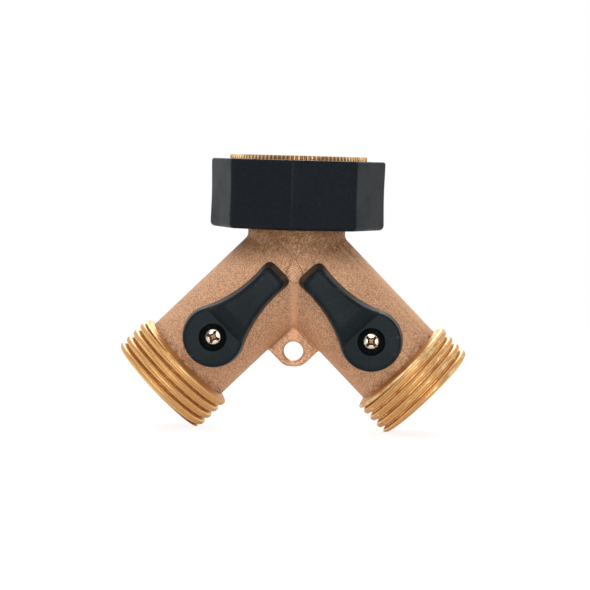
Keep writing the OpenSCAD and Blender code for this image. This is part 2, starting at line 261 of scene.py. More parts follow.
def tube(rows):
    """Points and faces of a closed ring of material: rows of a section's points, joined both ways."""
    count, columns = rows.shape[:2]
    at = np.arange(count * columns).reshape(count, columns)
    down = np.roll(at, -1, axis=0)
    return rows.reshape(-1, 3), np.stack(
        [at, np.roll(at, -1, axis=1), np.roll(down, -1, axis=1), down], axis=-1
    ).reshape(-1, 4)


def turned(radius, height, start, direction):
    """Rows of points round an axis: radius and height hold a row for each ring of the section."""
    direction = np.asarray(direction, float)
    first = np.cross(direction, FRONT if abs(direction @ FRONT) < 0.9 else UP)
    first /= np.linalg.norm(first)
    second = np.cross(direction, first)
    angle = np.arange(radius.shape[1]) * 2 * math.pi / radius.shape[1]
    return (
        np.asarray(start) + height[..., None] * direction
        + radius[..., None] * (np.cos(angle)[:, None] * first + np.sin(angle)[:, None] * second)
    )


def solid_of_revolution(section, start, direction, columns=96):
    """Points and faces of a closed turned solid. section lists radius and height, from axis to axis."""
    section = np.array(section, float)
    rows = turned(
        np.repeat(section[1:-1, :1], columns, 1), np.repeat(section[1:-1, 1:], columns, 1), start, direction
    )
    count = len(rows)
    at = np.arange(count * columns).reshape(count, columns)
    ends = np.asarray(start) + section[[0, -1], 1][:, None] * np.asarray(direction)
    quads = np.stack([
        at[:-1], np.roll(at[:-1], -1, axis=1), np.roll(at[1:], -1, axis=1), at[1:]
    ], axis=-1).reshape(-1, 4).tolist()
    first, last = count * columns, count * columns + 1
    bottom = [[first, int(b), int(a)] for a, b in zip(at[0], np.roll(at[0], -1))]
    top = [[last, int(a), int(b)] for a, b in zip(at[-1], np.roll(at[-1], -1))]
    return np.concatenate([rows.reshape(-1, 3), ends]), quads + bottom + top


def rod(radius, low, high, start, direction, columns=96):
    """Points and faces of a plain round bar between two heights along a direction."""
    section = [(0, low), (radius, low), (radius, high), (0, high)]
    return solid_of_revolution(section, start, direction, columns)


def prism(outline, low, high, axes, start):
    """Points and faces of an outline in u and v, extruded along w between two heights."""
    along, across, out = axes
    flat = np.array([np.asarray(start) + a * along + b * across for a, b in outline])
    count = len(flat)
    points = np.concatenate([flat + low * out, flat + high * out])
    faces = [list(range(count))[::-1], list(range(count, 2 * count))]
    faces += [[i, (i + 1) % count, count + (i + 1) % count, count + i] for i in range(count)]
    if np.dot(np.cross(along, across), out) < 0:
        faces = [face[::-1] for face in faces]
    return points, faces


def arc(centre, radius, start, end, steps):
    """Points of an arc, with its angles in degrees."""
    angles = np.radians(np.linspace(start, end, steps + 1))
    return [(centre[0] + radius * math.cos(a), centre[1] + radius * math.sin(a)) for a in angles]


def combine(base, solid, operation, finish=0):
    """Joins a closed solid to an object, or cuts it out of it, and gives its faces a finish number."""
    mesh = new_mesh("tool", *solid, finish)
    tool = new_object("tool", mesh)
    cut = base.modifiers.new("combine", "BOOLEAN")
    cut.operation, cut.object, cut.solver = operation, tool, "MANIFOLD"
    done = bpy.data.meshes.new_from_object(base.evaluated_get(bpy.context.evaluated_depsgraph_get()))
    base.modifiers.clear()
    old, base.data = base.data, done
    bpy.data.meshes.remove(old)
    bpy.data.objects.remove(tool)
    bpy.data.meshes.remove(mesh)


def finish_piece(piece, body, node, smooth_to):
    """Gives a piece soft shading up to an angle and its body, and hides the CAD node that it stands for."""
    mesh = piece.data
    mesh.polygons.foreach_set("use_smooth", [True] * len(mesh.polygons))
    mesh.set_sharp_from_angle(angle=math.radians(smooth_to))
    mesh.update()
    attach(piece, body)
    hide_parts(node)


# ---- Shader groups and finishes ----

class Nodes:
    """Short ways to place and join shader nodes in one tree."""

    def __init__(self, tree):
        self.tree = tree

    def add(self, kind, **inputs):
        """Places a node, then sets or joins its inputs by name."""
        node = self.tree.nodes.new(kind)
        for key, value in inputs.items():
            self.feed(node, key.replace("_", " "), value)
        return node

    def feed(self, node, socket, value):
        """Sets an input, or joins another node's output to it."""
        target = node.inputs[int(socket)] if socket.isdigit() else node.inputs[socket]
        if isinstance(value, bpy.types.NodeSocket):
            self.tree.links.new(value, target)
        else:
            target.default_value = value

    def math(self, operation, a, b=0.0):
        """The result of one sum on values."""
        node = self.tree.nodes.new("ShaderNodeMath")
        node.operation = operation
        self.feed(node, "0", a)
        self.feed(node, "1", b)
        return node.outputs[0]

    def vector(self, operation, a, b=None):
        """The outputs of a vector sum: the vector is the first, and a plain number is Value."""
        node = self.tree.nodes.new("ShaderNodeVectorMath")
        node.operation = operation
        self.feed(node, "0", a)
        if b is not None:
            self.feed(node, "1", b)
        return node.outputs

    def mix(self, share, a, b):
        """A mix of two colours."""
        node = self.tree.nodes.new("ShaderNodeMix")
        node.data_type = "RGBA"
        for index, value in (("0", share), ("6", a), ("7", b)):
            self.feed(node, index, value)
        return node.outputs[2]

    def spread(self, value, from_low, from_high, to_low=0.0, to_high=1.0):
        """A value carried smoothly from one range to another."""
        node = self.tree.nodes.new("ShaderNodeMapRange")
        node.interpolation_type = "SMOOTHSTEP"
        for index, item in enumerate((value, from_low, from_high, to_low, to_high)):
            self.feed(node, str(index), item)
        return node.outputs[0]

    def noise(self, place, scale, detail, roughness):
        """Cloudy values from 0 to 1."""
        node = self.add("ShaderNodeTexNoise", Vector=place, Scale=scale, Detail=detail, Roughness=roughness)
        return node.outputs["Fac"]

    def put_out(self, ends, **values):
        """Joins values to the ends of a group."""
        for key, value in values.items():
            self.tree.links.new(value, ends[key])


def group(name, inputs, outputs, build):
    """A shader node group with named inputs and outputs, whose insides the build function makes."""
    tree = bpy.data.node_groups.new(name, "ShaderNodeTree")
    for label, kind, value in inputs:
        socket = tree.interface.new_socket(label, in_out="INPUT", socket_type="NodeSocket" + kind)
        if value is not None:
            socket.default_value = value
    for label, kind in outputs:
        tree.interface.new_socket(label, in_out="OUTPUT", socket_type="NodeSocket" + kind)
    entry, leave = tree.nodes.new("NodeGroupInput"), tree.nodes.new("NodeGroupOutput")
    build(Nodes(tree), entry.outputs, leave.inputs)
    return tree


def srgb(r, g, b):
    """A colour written as 0 to 255 values, as the shader wants it."""
    shares = [value / 255 for value in (r, g, b)]
    return tuple(v / 12.92 if v <= 0.04045 else ((v + 0.055) / 1.055) ** 2.4 for v in shares) + (1.0,)


def build_grain(n, put, out):
    """Fine grains, light and dark, over a soft cloud of tone."""
    fine = n.noise(put["Place"], put["Fine Scale"], 2.0, 0.6)
    grains = n.spread(fine, 0.36, 0.64)
    cloud = n.spread(n.noise(put["Place"], put["Cloud Scale"], 3.0, 0.5), 0.3, 0.7)
    lighter = n.math("SUBTRACT", grains, 0.5)
    tone = n.mix(n.math("MULTIPLY", cloud, put["Cloud Strength"]), put["Colour"], put["Cloud Colour"])
    bright = n.add("ShaderNodeHueSaturation", Color=tone, Value=n.math(
        "ADD", 1.0, n.math("MULTIPLY", lighter, put["Grain Strength"])
    ))
    n.put_out(out, Colour=bright.outputs[0], Grains=grains, Cloud=cloud)


GRAIN = group(
    "Surface grain",
    [("Place", "Vector", None), ("Colour", "Color", (0.5, 0.5, 0.5, 1)),
     ("Cloud Colour", "Color", (0.4, 0.4, 0.4, 1)), ("Cloud Strength", "Float", 0.5),
     ("Fine Scale", "Float", 2000.0), ("Cloud Scale", "Float", 100.0), ("Grain Strength", "Float", 0.3)],
    [("Colour", "Color"), ("Grains", "Float"), ("Cloud", "Float")],
    build_grain,
)


def build_turning(n, put, out):
    """Fine tool lines round an axis, as a lathe leaves them, with how far along and out each point is."""
    away = n.vector("SUBTRACT", put["Place"], put["Start"])[0]
    along = n.vector("DOT_PRODUCT", away, put["Axis"])["Value"]
    radius = n.vector("LENGTH", n.vector("CROSS_PRODUCT", away, put["Axis"])[0])["Value"]
    rings = n.math("MULTIPLY", n.math("MULTIPLY", radius, put["Face Rings"]), put["Lines Scale"])
    place = n.add("ShaderNodeCombineXYZ", X=n.math("MULTIPLY", along, put["Lines Scale"]), Y=rings)
    lines = n.spread(n.noise(place.outputs[0], 1.0, 3.0, 0.7), 0.3, 0.7)
    n.put_out(out, Lines=lines, Along=along, Radius=radius)


TURNING = group(
    "Turning lines",
    [("Place", "Vector", None), ("Start", "Vector", None), ("Axis", "Vector", None),
     ("Lines Scale", "Float", 4000.0), ("Face Rings", "Float", 0.0)],
    [("Lines", "Float"), ("Along", "Float"), ("Radius", "Float")],
    build_turning,
)


def build_thread_edge(n, put, out):
    """A mask for a painted highlight, 1 along both edges of a thread's crest, from where the crest starts
    round its axis.
    """
    away = n.vector("SUBTRACT", put["Place"], put["Start"])[0]
    along, side, behind = (
        n.vector("DOT_PRODUCT", away, put[direction])["Value"] for direction in ("Axis", "Side", "Behind"))
    turn = n.math("DIVIDE", n.math("ARCTAN2", behind, side), 2 * math.pi)
    phase = n.math("SUBTRACT", n.math("DIVIDE", along, PITCH * MM), turn)
    across = n.math("MULTIPLY", n.math("PINGPONG", n.math("ADD", phase, 100.0), 0.5), 2.0)
    line = n.spread(n.math("ABSOLUTE", n.math("SUBTRACT", across, CREST_EDGE)), 0.06, 0.17, 1.0, 0.0)
    squares = (n.math("MULTIPLY", side, side), n.math("MULTIPLY", behind, behind))
    radius = n.math("SQRT", n.math("ADD", *squares))
    outside = n.spread(radius, (THREAD_R - 0.9) * MM, (THREAD_R - 0.6) * MM)
    cut = n.spread(along, -1.6 * MM, -1.1 * MM)
    n.put_out(out, Edge=n.math("MULTIPLY", line, n.math("MULTIPLY", outside, cut)))


THREAD_EDGE_HIGHLIGHT = group(
    "Thread edge highlight",
    [(direction, "Vector", None) for direction in ("Place", "Start", "Axis", "Side", "Behind")],
    [("Edge", "Float")],
    build_thread_edge,
)


def build_wear(n, put, out):
    """A mask that is 1 on sharp outer edges, broken up by noise."""
    edge = n.add("ShaderNodeNewGeometry").outputs["Pointiness"]
    broken = n.noise(put["Place"], put["Break Scale"], 3.0, 0.6)
    mask = n.spread(edge, put["From"], put["To"])
    n.put_out(out, Wear=n.math("MULTIPLY", mask, n.spread(broken, 0.3, 0.6)))


WEAR = group(
    "Edge wear",
    [("Place", "Vector", None), ("From", "Float", 0.52), ("To", "Float", 0.6),
     ("Break Scale", "Float", 400.0)],
    [("Wear", "Float")],
    build_wear,
)


def new_finish(name):
    """A material with an empty tree: its node helper, its shader and the place on the object."""
    material = bpy.data.materials.new(name)
    material.use_nodes = True
    tree = material.node_tree
    tree.nodes.clear()
    n = Nodes(tree)
    shader = tree.nodes.new("ShaderNodeBsdfPrincipled")
    out = tree.nodes.new("ShaderNodeOutputMaterial")
    tree.links.new(shader.outputs[0], out.inputs["Surface"])
    place = n.add("ShaderNodeTexCoord").outputs["Object"]
    return material, n, shader, place


def placed(n, tree, **inputs):
    """A shader group put into a material, with its inputs set or joined by name."""
    node = n.tree.nodes.new("ShaderNodeGroup")
    node.node_tree = tree
    for key, value in inputs.items():
        n.feed(node, key.replace("_", " "), value)
    return node


def bumped(n, height, strength, distance):
    """Normals for a surface raised by a height, over a distance in metres."""
    return n.add("ShaderNodeBump", Strength=strength, Distance=distance, Height=height).outputs[0]


def film_at(n, place, direction, start, end, least, most):
    """Mask that grows from start to end along a direction from the joint, broken up by noise; it places
    brown film, painted shade and a painted highlight.
    """
    along = n.vector("DOT_PRODUCT", place, tuple(direction))["Value"]
    origin = JOINT @ direction
    near = n.spread(along, (origin + start) * MM, (origin + end) * MM)
    return n.math("MULTIPLY", near, n.spread(n.noise(place, 900.0, 3.0, 0.6), 0.35, 0.65, least, most))


def cast_brass():
    """Cast brass, sand-blasted to a fine matt grain, with a brown film in its corners that is partly patina
    and partly painted shade, painted shade on the neck under the grip and a painted highlight down the
    valley between the arms.
    """
    material, n, shader, place = new_finish("cast_brass")
    # Brown film in hollow corners: partly patina, partly painted shade.
    hollows = n.add("ShaderNodeNewGeometry").outputs["Pointiness"]
    film_and_shade = n.math("MULTIPLY", n.spread(hollows, 0.5, 0.44), 0.75)
    for side in (-1, 1):
        film_and_shade = n.math("MAXIMUM", film_and_shade, film_at(
            n, place, arm_direction(side), ARM_LENGTH - 2.0, ARM_LENGTH, 0.15, 0.75))
    # Painted shade: the neck darkens towards the grip above it, as in the grip's shadow, in the brown film
    # colour.
    film_and_shade = n.math("MAXIMUM", film_and_shade, film_at(n, place, UP, NECK_LENGTH - 10.0, NECK_LENGTH - 3.0, 0.6, 0.85))
    grain = placed(
        n, GRAIN, Place=place, Colour=n.mix(film_and_shade, srgb(214, 167, 131), srgb(122, 86, 50)),
        Cloud_Colour=n.mix(film_and_shade, srgb(192, 144, 108), srgb(112, 76, 42)),
        Cloud_Strength=0.5, Fine_Scale=3300.0, Cloud_Scale=70.0, Grain_Strength=0.55,
    )
    grit = n.noise(place, 2600.0, 2.0, 0.7)
    specks = n.noise(place, 1700.0, 2.0, 0.6)
    dark, light = n.spread(specks, 0.6, 0.7), n.spread(specks, 0.4, 0.3)
    # Painted highlight: a lighter strip down the middle of the valley between the arms, below the joint.
    across = n.math("ABSOLUTE", n.add("ShaderNodeSeparateXYZ", Vector=place).outputs["X"])
    middle = n.spread(across, 0.5 * MM, 1.4 * MM, 1.0, 0.0)
    painted_valley_highlight = n.math("MULTIPLY", middle, film_at(n, place, -UP, 3.0, 6.0, 0.6, 0.9))
    wear = placed(n, WEAR, Place=place, From=0.53, To=0.62, Break_Scale=500.0).outputs[0]
    colour = grain.outputs["Colour"]
    for mask, share, tone in ((dark, 0.5, (120, 80, 50)), (light, 0.5, (236, 190, 146)),
                              (painted_valley_highlight, 0.7, (238, 186, 146)), (wear, 0.6, (226, 176, 130))):
        colour = n.mix(n.math("MULTIPLY", mask, share), colour, srgb(*tone))
    n.feed(shader, "Base Color", colour)
    n.feed(shader, "Metallic", 0.5)
    n.feed(shader, "Roughness", n.spread(grain.outputs["Grains"], 0, 1, 0.68, 0.54))
    height = n.math("ADD", n.math("MULTIPLY", grit, 0.6), n.math("MULTIPLY", grain.outputs["Grains"], 0.5))
    n.feed(shader, "Normal", bumped(n, height, 0.5, 0.00006))
    return material


def machined_brass(name, axis, colour=(220, 168, 102), thread_start=None):
    """Bare brass from the lathe, golden, with fine tool lines round its axis, bright edge wear, painted
    highlights along its thread crests and painted shade in its hollows.
    """
    material, n, shader, place = new_finish(name)
    turning = placed(n, TURNING, Place=place, Start=tuple(JOINT * MM), Axis=tuple(axis), Lines_Scale=5000.0,
                     Face_Rings=1.0).outputs
    lines = turning["Lines"]
    grain = placed(
        n, GRAIN, Place=place, Colour=srgb(*colour), Cloud_Colour=srgb(206, 148, 88),
        Cloud_Strength=0.5, Fine_Scale=3000.0, Cloud_Scale=160.0, Grain_Strength=0.2,
    )
    wear = placed(n, WEAR, Place=place, From=0.52, To=0.58, Break_Scale=300.0).outputs[0]
    hollows = n.spread(n.add("ShaderNodeNewGeometry").outputs["Pointiness"], 0.49, 0.43)
    if thread_start is not None:
        threaded = n.math("MULTIPLY", n.spread(turning["Radius"], 10.4 * MM, 10.9 * MM), n.spread(
            turning["Along"], (OUTLET_END - 0.4) * MM, (OUTLET_END - 0.1) * MM, 1.0, 0.0))
        wear, hollows = n.math("MULTIPLY", wear, threaded), n.math("MULTIPLY", hollows, threaded)
    tone = n.mix(n.math("MULTIPLY", lines, 0.25), grain.outputs["Colour"], srgb(184, 128, 72))
    # The bright tone on pointed edges is edge wear, and on the threads it is also a painted highlight along
    # the crests.
    tone = n.mix(n.math("MULTIPLY", wear, 0.8), tone, srgb(255, 222, 170))
    if thread_start is not None:
        # Painted highlight: thin bright lines along both edges of each thread crest.
        side = np.cross(axis, FRONT)
        edge = placed(n, THREAD_EDGE_HIGHLIGHT, Place=place, Start=tuple(thread_start * MM), Axis=tuple(axis),
                      Side=tuple(side), Behind=tuple(np.cross(axis, side))).outputs[0]
        tone = n.mix(n.math("MULTIPLY", edge, 0.85), tone, srgb(255, 226, 172))
    # Painted shade: dark brown in the thread grooves, between the nut's teeth and in other hollows.
    tone = n.mix(n.math("MULTIPLY", hollows, 0.75), tone, srgb(136, 86, 40))
    n.feed(shader, "Base Color", tone)
    n.feed(shader, "Metallic", 0.7)
    n.feed(shader, "Roughness", n.spread(lines, 0, 1, 0.4, 0.52))
    n.feed(shader, "Normal", bumped(n, lines, 0.25, 0.00004))
    return material


def moulded(name, colour, cloud_colour, roughness, grain_strength, bump, specular=0.4):
    """Moulded plastic or rubber with a fine texture and faint clouds of tone."""
    material, n, shader, place = new_finish(name)
    grain = placed(
        n, GRAIN, Place=place, Colour=srgb(*colour), Cloud_Colour=srgb(*cloud_colour),
        Cloud_Strength=0.8, Fine_Scale=1800.0, Cloud_Scale=90.0, Grain_Strength=grain_strength,
    )
    wear = placed(n, WEAR, Place=place, From=0.52, To=0.6, Break_Scale=350.0).outputs[0]
    rubbed = srgb(*[min(255, c + 34) for c in colour])
    tone = n.mix(n.math("MULTIPLY", wear, 0.5), grain.outputs["Colour"], rubbed)
    n.feed(shader, "Base Color", tone)
    n.feed(shader, "Specular IOR Level", specular)
    n.feed(shader, "Specular Tint", (0.82, 0.94, 1.0, 1.0))
    n.feed(shader, "Roughness", n.spread(grain.outputs["Cloud"], 0, 1, roughness - 0.05, roughness + 0.05))
    n.feed(shader, "Normal", bumped(n, grain.outputs["Grains"], bump, 0.00005))
    return material


def plated(name, colour, roughness, axis=(0, 1, 0)):
    """A plated or polished metal with light handling marks."""
    material, n, shader, place = new_finish(name)
    lines = placed(n, TURNING, Place=place, Axis=axis, Lines_Scale=3000.0).outputs[0]
    grain = placed(
        n, GRAIN, Place=place, Colour=srgb(*colour), Cloud_Colour=srgb(*[int(c * 0.86) for c in colour]),
        Cloud_Strength=0.6, Fine_Scale=3000.0, Cloud_Scale=500.0, Grain_Strength=0.1,
    )
    n.feed(shader, "Base Color", grain.outputs["Colour"])
    n.feed(shader, "Metallic", 1.0)
    n.feed(shader, "Roughness", n.spread(grain.outputs["Cloud"], 0, 1, roughness - 0.05, roughness + 0.08))
    n.feed(shader, "Normal", bumped(n, lines, 0.12, 0.00002))
    return material


CAST = cast_brass()
LEFT_TURNED = machined_brass(
    "machined_brass_left", arm_direction(-1), thread_start=JOINT + crest_start(-1) * arm_direction(-1))
RIGHT_TURNED = machined_brass(
    "machined_brass_right", arm_direction(1), thread_start=JOINT + crest_start(1) * arm_direction(1))
# The nut's and spigot's finish is the machined brass darkened: painted shade.
NUT_TURNED_SHADED = machined_brass("machined_brass_nut_shaded", UP, (150, 114, 78))
STEM_TURNED = machined_brass("machined_brass_stem", FRONT)
GRIP_RUBBER = moulded("grip_rubber", (21, 25, 30), (17, 21, 25), 0.5, 0.35, 0.25, 0.14)
LEVER_PLASTIC = moulded("lever_plastic", (20, 26, 29), (16, 22, 25), 0.45, 0.3, 0.2, 0.16)
# Near-black plastic for the hub's screw recess: painted shade, as the recess lies in shade.
RECESS_SHADE_PLASTIC = moulded("lever_recess_painted_shade", (7, 7, 8), (4, 4, 5), 0.7, 0.2, 0.2, 0.1)
SEAL_RUBBER = moulded("seal_rubber", (26, 26, 27), (20, 20, 21), 0.6, 0.2, 0.2)
SEAT_PLASTIC = moulded("seat_plastic", (222, 219, 208), (210, 206, 194), 0.4, 0.04, 0.1)
SCREW_METAL = plated("screw_plating", (232, 220, 200), 0.28)
# Darker, browner plating inside the screw's cross recess: painted shade.
SCREW_RECESS_SHADE = plated("screw_recess", (150, 118, 92), 0.45)
BALL_PLATING = plated("ball_plating", (196, 196, 192), 0.14)
SPRING_STEEL = plated("spring_steel", (178, 172, 162), 0.3, (0, 0, 1))


# ---- Cast body ----

def lug_field(p):
    """Plate in the crotch with its hole, its edges soft from the casting."""
    corner_round, face_round = 1.1, 0.45
    side, low = np.abs(p[..., 0]), CROTCH_Z - LUG_DROP
    slope = (side - LUG_FLAT / 2 - (p[..., 2] - low)) / math.sqrt(2)
    edge = soft_max(low - p[..., 2], slope, corner_round)
    edge = np.maximum(edge, np.maximum(p[..., 2] - CROTCH_Z - 2, side - 9))
    plate = soft_max(edge, np.abs(p[..., 1]) - LUG_THICKNESS / 2, face_round)
    hole = LUG_HOLE_R - np.hypot(p[..., 0], p[..., 2] - CROTCH_Z + LUG_HOLE_DROP)
    return plate, hole


def casting_field(p):
    """Outside of the casting: neck, both arms with their bosses, and the lug."""
    crotch_fillet, neck_fillet, lug_fillet, boss_fillet = 1.6, 1.3, 0.45, 1.0
    into_shoulder, under_neck_top = 0.35, 0.6
    neck, neck_out, height = round_bar(p, JOINT, UP, NECK_R)
    neck = soft_max(np.maximum(neck, -height), height - NECK_LENGTH, 0.4)
    arms = []
    for side in (-1, 1):
        arm, out, along = round_bar(p, JOINT, arm_direction(side), ARM_R)
        arm = np.maximum(np.maximum(arm, -along), along - ARM_LENGTH - into_shoulder)
        arms.append((np.maximum(arm, height - NECK_LENGTH + under_neck_top), out))
    whole = angle_fillet(*arms[0], *arms[1], crotch_fillet)
    arm_out = np.where((p[..., 0] < 0)[..., None], arms[0][1], arms[1][1])
    whole = angle_fillet(neck, neck_out, whole, arm_out, neck_fillet)
    plate, hole = lug_field(p)
    whole = soft_min(whole, plate, lug_fillet)
    for side in (-1, 1):
        boss, _, out = round_bar(p, valve_centre(side), FRONT, BOSS_R)
        boss = soft_max(np.maximum(boss, -out), out - BOSS_TOP, 0.5)
        whole = soft_min(whole, boss, boss_fillet)
    return soft_max(whole, hole, 0.5)


def thread_form(phase):
    """Depth of a hose thread, from 0 on its domed crest, over a clear edge, to 1 in its narrow root."""
    across = np.abs((phase + 0.5) % 1 - 0.5) * 2
    dome = DOME * (np.minimum(across, CREST_EDGE) / CREST_EDGE) ** 2
    return dome + (1 - DOME) * np.clip((across - CREST_EDGE) / FLANK, 0, 1)


def male_thread(side):
    """Threaded outlet: a steep shoulder, the helical groove that runs out at it, and the end's chamfer."""
    columns, inside_r, shoulder, steepness, chamfer = 192, 7.0, 0.9, 2.8, 0.5
    heights = np.concatenate([
        [ARM_LENGTH - 1.2, ARM_LENGTH - 0.01], np.linspace(ARM_LENGTH, ARM_LENGTH + shoulder, 7)[:-1],
        np.arange(ARM_LENGTH + shoulder, OUTLET_END - 0.02, 0.085), [OUTLET_END],
    ])
    along = np.repeat(heights[:, None], columns, 1)
    turn = np.arange(columns)[None, :] / columns
    past_crest = along - crest_start(side)
    groove = thread_form(past_crest / PITCH - turn) * THREAD_DEPTH
    run_out = np.clip((past_crest + PITCH / 2 + 0.45) / 0.6, 0, 1)
    radius = THREAD_R - groove * run_out**2 * (3 - 2 * run_out)
    radius = np.minimum(radius, ARM_R - 0.15 + np.clip(along - ARM_LENGTH, 0, None) * steepness)
    radius = np.where(along < ARM_LENGTH - 0.005, ARM_R - 0.6, radius)
    radius = np.minimum(radius, THREAD_R - chamfer + (OUTLET_END - along))
    radius = np.concatenate([radius, np.full((2, columns), inside_r)])
    along = np.concatenate([along, np.full((1, columns), OUTLET_END), np.full((1, columns), heights[0])])
    return tube(turned(radius, along, JOINT, arm_direction(side)))


def stop_sector(inner, outer, low, high, middle, half_angle, side):
    """Part of a ring about the stem, its middle so many degrees round from the lever."""
    outline = arc((0, 0), outer, middle - half_angle, middle + half_angle, 16)
    outline += arc((0, 0), inner, middle + half_angle, middle - half_angle, 16)
    return prism(outline, low, high, lever_axes(side), valve_centre(side))


def drop_mark():
    """Raised water drop on the front of the casting, with a soft upper edge."""
    shoulder = math.degrees(math.asin(DROP_R / DROP_TIP))
    outline = arc((0, 0), DROP_R, 180 - shoulder, 360 + shoulder, 44) + [(0, DROP_TIP)]
    base, middle = np.array([0, -ARM_R, DROP_Z]), 0.6
    rings = []
    for inset, height in ((0, -1.0), (0, DROP_RELIEF - 0.3), (0.12, DROP_RELIEF - 0.08),
                          (0.35, DROP_RELIEF)):
        scale = 1 - inset / DROP_R
        rings.append([base + [x * scale, -height, (z - middle) * scale + middle] for x, z in outline])
    count = len(outline)
    faces = [list(range(count))[::-1], [3 * count + i for i in range(count)]]
    for level, i in itertools.product(range(3), range(count)):
        a, b = level * count + i, level * count + (i + 1) % count
        faces.append([a, b, b + count, a + count])
    return np.concatenate([np.array(ring) for ring in rings]), faces


def spigot():
    """Turned spigot above the neck, with the retaining ring's groove and a chamfered top."""
    groove_low, groove_high = RING_BOTTOM - GROOVE_GAP, RING_TOP + GROOVE_GAP
    section = [(0, NECK_TOP - 1), (SPIGOT_R, NECK_TOP - 1), (SPIGOT_R, groove_low),
               (RING_GROOVE_R, groove_low), (RING_GROOVE_R, groove_high), (SPIGOT_R, groove_high),
               (SPIGOT_R, SPIGOT_TOP - 0.2), (SPIGOT_R - 0.2, SPIGOT_TOP), (0, SPIGOT_TOP)]
    return solid_of_revolution(section, np.zeros(3), UP)


def valve_chamber(side):
    """Bore from the outlet to behind the ball, with a chamfered mouth."""
    section = [(0, CAVITY_START), (CAVITY_R, CAVITY_START), (CAVITY_R, OUTLET_END - 0.5),
               (CAVITY_R + 0.7, OUTLET_END + 0.2), (0, OUTLET_END + 0.2)]
    return solid_of_revolution(section, JOINT, arm_direction(side))


def stem_bore(side):
    """Pocket for the stem's shoulder and the narrower bore through the boss."""
    past_top = BOSS_TOP + 5
    section = [(0, 0), (SHOULDER_POCKET_R, 0), (SHOULDER_POCKET_R, POCKET_TOP), (STEM_BORE_R, POCKET_TOP),
               (STEM_BORE_R, past_top), (0, past_top)]
    return solid_of_revolution(section, valve_centre(side), FRONT)


def build_body():
    """The casting, joined with its machined ends, then bored out."""
    step = 0.35
    low = np.array([-34.5, -14.6, CROTCH_Z - LUG_DROP - 9.5])
    high = np.array([34.5, 12.6, NECK_TOP + 1])
    mesh = new_mesh("body_casting", *skin(casting_field, low, high, step))
    piece = new_object("body_casting", mesh, (CAST, LEFT_TURNED, RIGHT_TURNED, NUT_TURNED_SHADED))
    cuts = ((-1, LEFT_CUT), (1, RIGHT_CUT))
    for side, cut in cuts:
        stop_block = stop_sector(STOP_INNER_R, STOP_OUTER_R, BOSS_TOP - 1, STOP_TOP, 180 - VALVE_TRAVEL / 2,
                                 STOP_HALF_ANGLE, side)
        combine(piece, male_thread(side), "UNION", cut)
        combine(piece, stop_block, "UNION")
    combine(piece, drop_mark(), "UNION")
    combine(piece, spigot(), "UNION", SPIGOT_CUT)
    combine(piece, rod(NECK_BORE_R, 0, 40, JOINT, UP), "DIFFERENCE", SPIGOT_CUT)
    for side, cut in cuts:
        passage = rod(PASSAGE_R, 0, VALVE_DISTANCE, JOINT, arm_direction(side))
        for hollow in (passage, valve_chamber(side), stem_bore(side)):
            combine(piece, hollow, "DIFFERENCE", cut)
    finish_piece(piece, "root", "body", 35)


# ---- Swivel nut and grip ----

def build_nut():
    """Nut with its fine outer teeth and a helical thread inside."""
    per_tooth = 4
    columns = NUT_TEETH * per_tooth
    tooth = np.tile([0, 0, TOOTH_DEPTH, TOOTH_DEPTH], NUT_TEETH)
    flat = np.ones(columns)
    chamfer, top_chamfer, mouth_r = 0.3, 0.15, NUT_THREAD_R + THREAD_DEPTH + 0.1
    rows = []
    for height, inset in ((NUT_BOTTOM, chamfer), (NUT_BOTTOM + chamfer, 0), (GRIP_TOP, 0),
                          (-0.18, 0), (0, top_chamfer)):
        rows.append((NUT_R - tooth - inset, flat * height))
    rows.append((flat * mouth_r, flat * 0))
    turn = np.arange(columns) / columns
    for height in np.linspace(-0.35, NUT_THREAD_BOTTOM, 64):
        fade = min(1.0, (height - NUT_THREAD_BOTTOM) / 1.2)
        radius = NUT_THREAD_R + THREAD_DEPTH * thread_form(height / PITCH - turn) * fade
        rows.append((np.maximum(radius, NUT_THREAD_R + 1.0 + height * 1.2), flat * height))
    bore_r = SPIGOT_R + SPIGOT_GAP
    for radius, height in ((CHAMBER_R, NUT_THREAD_BOTTOM), (CHAMBER_R, LIP_TOP), (bore_r, LIP_TOP),
                           (bore_r, NUT_BOTTOM)):
        rows.append((flat * radius, flat * height))
    radius, height = np.array([r for r, _ in rows]), np.array([h for _, h in rows])
    angle = turn * 2 * math.pi + NUT_TURN
    points = np.stack([radius * np.cos(angle), radius * np.sin(angle), height], axis=-1)
    piece = new_object("nut_toothed", new_mesh("nut_toothed", *tube(points)), [NUT_TURNED_SHADED])
    finish_piece(piece, "nut", "swivel_nut", 30)


def grip_outline(inset):
    """The eight-sided outline with round corners, pulled in by a little."""
    flat_steps, arc_steps = 10, 8
    eighth = math.pi / 8
    apothem = GRIP_CORNER_R + (GRIP_CORNER - GRIP_CORNER_R) * math.cos(eighth)
    radius = max(GRIP_CORNER_R - inset, 0.35)
    reach = (apothem - inset - radius) / math.cos(eighth)
    corners = []
    for k in range(8):
        middle = 2 * k * eighth + NUT_TURN
        angles = middle + np.linspace(-eighth, eighth, arc_steps + 1)
        centre = reach * np.array([math.cos(middle), math.sin(middle)])
        corners.append(centre + radius * np.column_stack([np.cos(angles), np.sin(angles)]))
    points = []
    for corner, following in zip(corners, corners[1:] + corners[:1]):
        shares = np.linspace(0, 1, flat_steps + 1)[1:-1, None]
        points += [corner, corner[-1] + (following[0] - corner[-1]) * shares]
    return np.concatenate(points)


